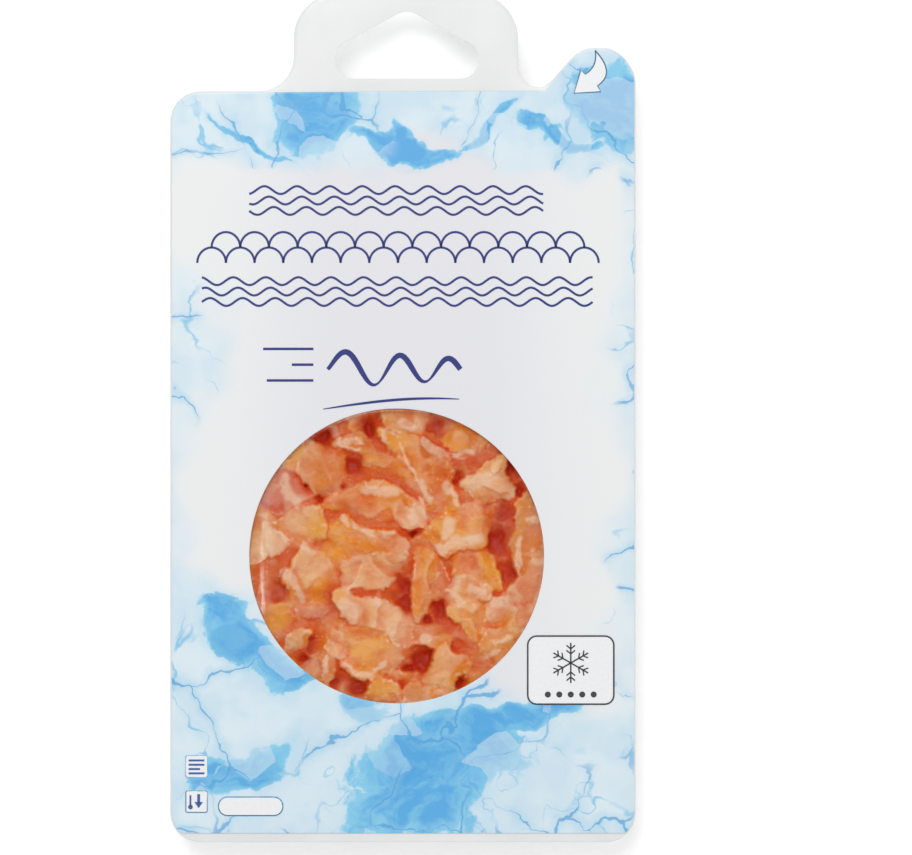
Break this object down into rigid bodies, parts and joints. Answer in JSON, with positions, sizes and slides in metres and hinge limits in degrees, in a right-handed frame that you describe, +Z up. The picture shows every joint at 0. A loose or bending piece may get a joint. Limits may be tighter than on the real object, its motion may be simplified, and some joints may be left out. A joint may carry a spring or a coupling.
{
  "type": "pack of smoked salmon",
  "caption": "Sealed retail pack of smoked salmon trimmings: shallow plastic tray with hang tab and peel ear, printed lid film with a round clear window.",
  "frame": {"origin": "on the surface that the pack lies on, below the middle of its whole outline", "axes": "+X to the right across the printed face, +Y towards the hang tab, +Z up out of the printed face"},
  "size_m": [0.13, 0.237, 0.0143],
  "materials": {
    "tray_plastic": "milky thermoformed sheet, satin",
    "salmon": "moist cut fish flesh, orange to cream with darker gaps",
    "printed_film": "smooth film printed white with pale blue ice marbling",
    "clear_film": "clear glossy film"
  },
  "bodies": {
    "root": {"tray": "tray_plastic", "salmon": "salmon", "lid_film": "printed_film", "window_film": "clear_film"}
  },
  "joints": []
}
